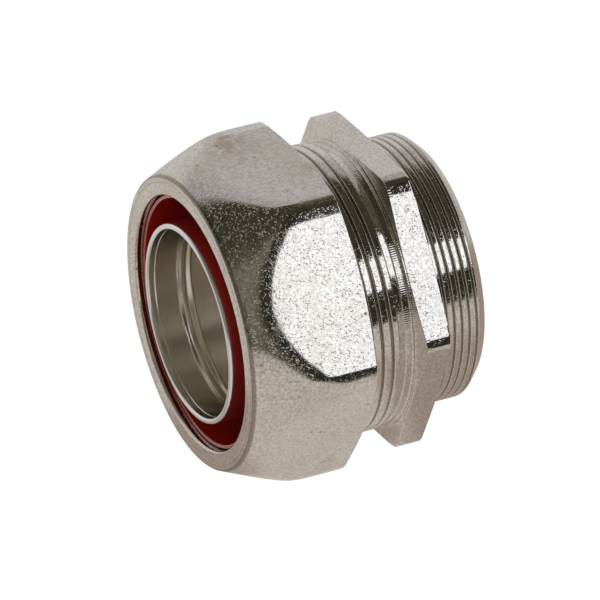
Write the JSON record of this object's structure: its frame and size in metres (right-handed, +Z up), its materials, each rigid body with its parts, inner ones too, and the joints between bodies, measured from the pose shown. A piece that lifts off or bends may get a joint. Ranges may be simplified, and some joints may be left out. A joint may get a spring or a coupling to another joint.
{
  "type": "conduit connector",
  "caption": "Liquid-tight connector for metal conduit, with a hexagon compression nut, a red sealing ring, an inner ferrule and a threaded hexagon body.",
  "frame": {"origin": "on the connector's axis, in the rear face of the hexagon flange, where the entry thread starts", "axes": "+X along the entry thread, into the box; -X out of the conduit mouth; +Z up as the connector lies on a flat of its nut"},
  "size_m": [0.0489, 0.0656, 0.0576],
  "materials": {
    "nickel_body": "nickel plated, turned, fine scratches",
    "nickel_nut": "nickel plated, tumbled, with small stains",
    "red_nylon": "glossy moulded nylon",
    "ferrule_plating": "bright nickel plating, polished"
  },
  "bodies": {
    "fixed": {"gland_body": "nickel_body", "ferrule": "ferrule_plating"},
    "ring": {"sealing_ring": "red_nylon"},
    "nut": {"compression_nut": "nickel_nut"}
  },
  "joints": [
    {"name": "ring_slide", "type": "slide", "parent": "fixed", "child": "ring", "axis": [1, 0, 0], "range_m": [-0.007, 0.004]},
    {"name": "nut_turn", "type": "hinge", "parent": "ring", "child": "nut", "pos_m": [0, 0, 0], "axis": [1, 0, 0], "range_deg": [-1260, 720]}
  ],
  "couplings": [
    {"joint": "ring_slide", "follows": "nut_turn", "m_per_rad": 0.00031831}
  ]
}
